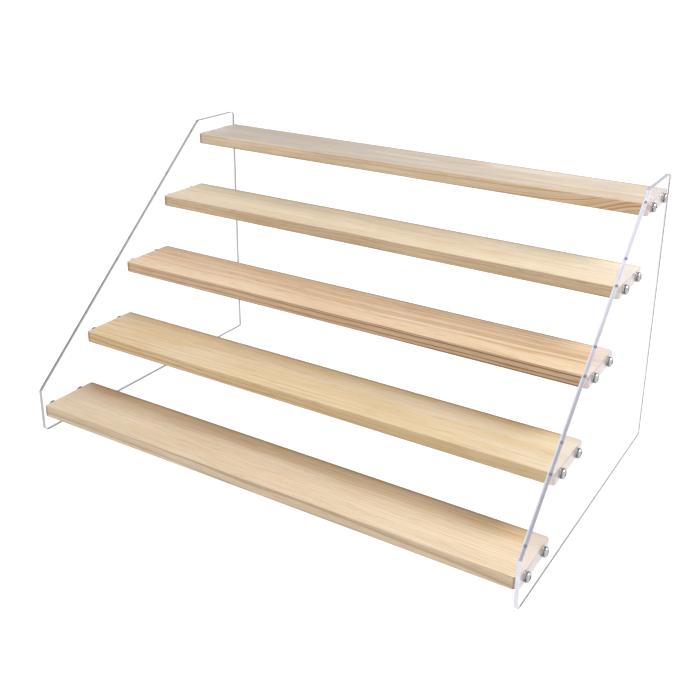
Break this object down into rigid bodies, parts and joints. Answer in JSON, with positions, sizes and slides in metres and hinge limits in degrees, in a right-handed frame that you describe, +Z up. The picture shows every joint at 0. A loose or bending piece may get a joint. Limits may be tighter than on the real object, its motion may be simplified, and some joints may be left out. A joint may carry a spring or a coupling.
{
  "type": "tiered shelf riser",
  "caption": "Stepped countertop riser: narrow pine boards screwed between clear acrylic side panels with slanted front edges, for displaying rows of jars.",
  "frame": {"origin": "on the surface it stands on, under the middle of its length and depth", "axes": "+X along the boards to the right as seen from the front, -Y towards the front (the lowest tier), +Z up"},
  "size_m": [0.4108, 0.25, 0.216],
  "materials": {
    "clear_acrylic": "clear cast acrylic sheet, polished faces and edges",
    "pine_tier_1": "pale cream pine, fine straight grain, smooth-planed, matt clear finish",
    "pine_tier_2": "yellowish pale pine, fine straight grain, smooth-planed, matt clear finish",
    "pine_tier_3": "warm orange-brown pine, strong stripes, smooth-planed, matt clear finish",
    "pine_tier_4": "cream pine, beige-brown front grain, smooth-planed, matt clear finish",
    "pine_tier_5": "greyish beige to cream pine, smooth-planed, matt clear finish",
    "screw_steel": "bright zinc-plated steel"
  },
  "bodies": {
    "root": {"side_panel_left": "clear_acrylic", "side_panel_right": "clear_acrylic", "shelf_board_tier_1": "pine_tier_1", "shelf_board_tier_2": "pine_tier_2", "shelf_board_tier_3": "pine_tier_3", "shelf_board_tier_4": "pine_tier_4", "shelf_board_tier_5": "pine_tier_5", "screw_left_tier_1_front": "screw_steel", "screw_left_tier_1_rear": "screw_steel", "screw_left_tier_2_front": "screw_steel", "screw_left_tier_2_rear": "screw_steel", "screw_left_tier_3_front": "screw_steel", "screw_left_tier_3_rear": "screw_steel", "screw_left_tier_4_front": "screw_steel", "screw_left_tier_4_rear": "screw_steel", "screw_left_tier_5_front": "screw_steel", "screw_left_tier_5_rear": "screw_steel", "screw_right_tier_1_front": "screw_steel", "screw_right_tier_1_rear": "screw_steel", "screw_right_tier_2_front": "screw_steel", "screw_right_tier_2_rear": "screw_steel", "screw_right_tier_3_front": "screw_steel", "screw_right_tier_3_rear": "screw_steel", "screw_right_tier_4_front": "screw_steel", "screw_right_tier_4_rear": "screw_steel", "screw_right_tier_5_front": "screw_steel", "screw_right_tier_5_rear": "screw_steel"}
  },
  "joints": []
}
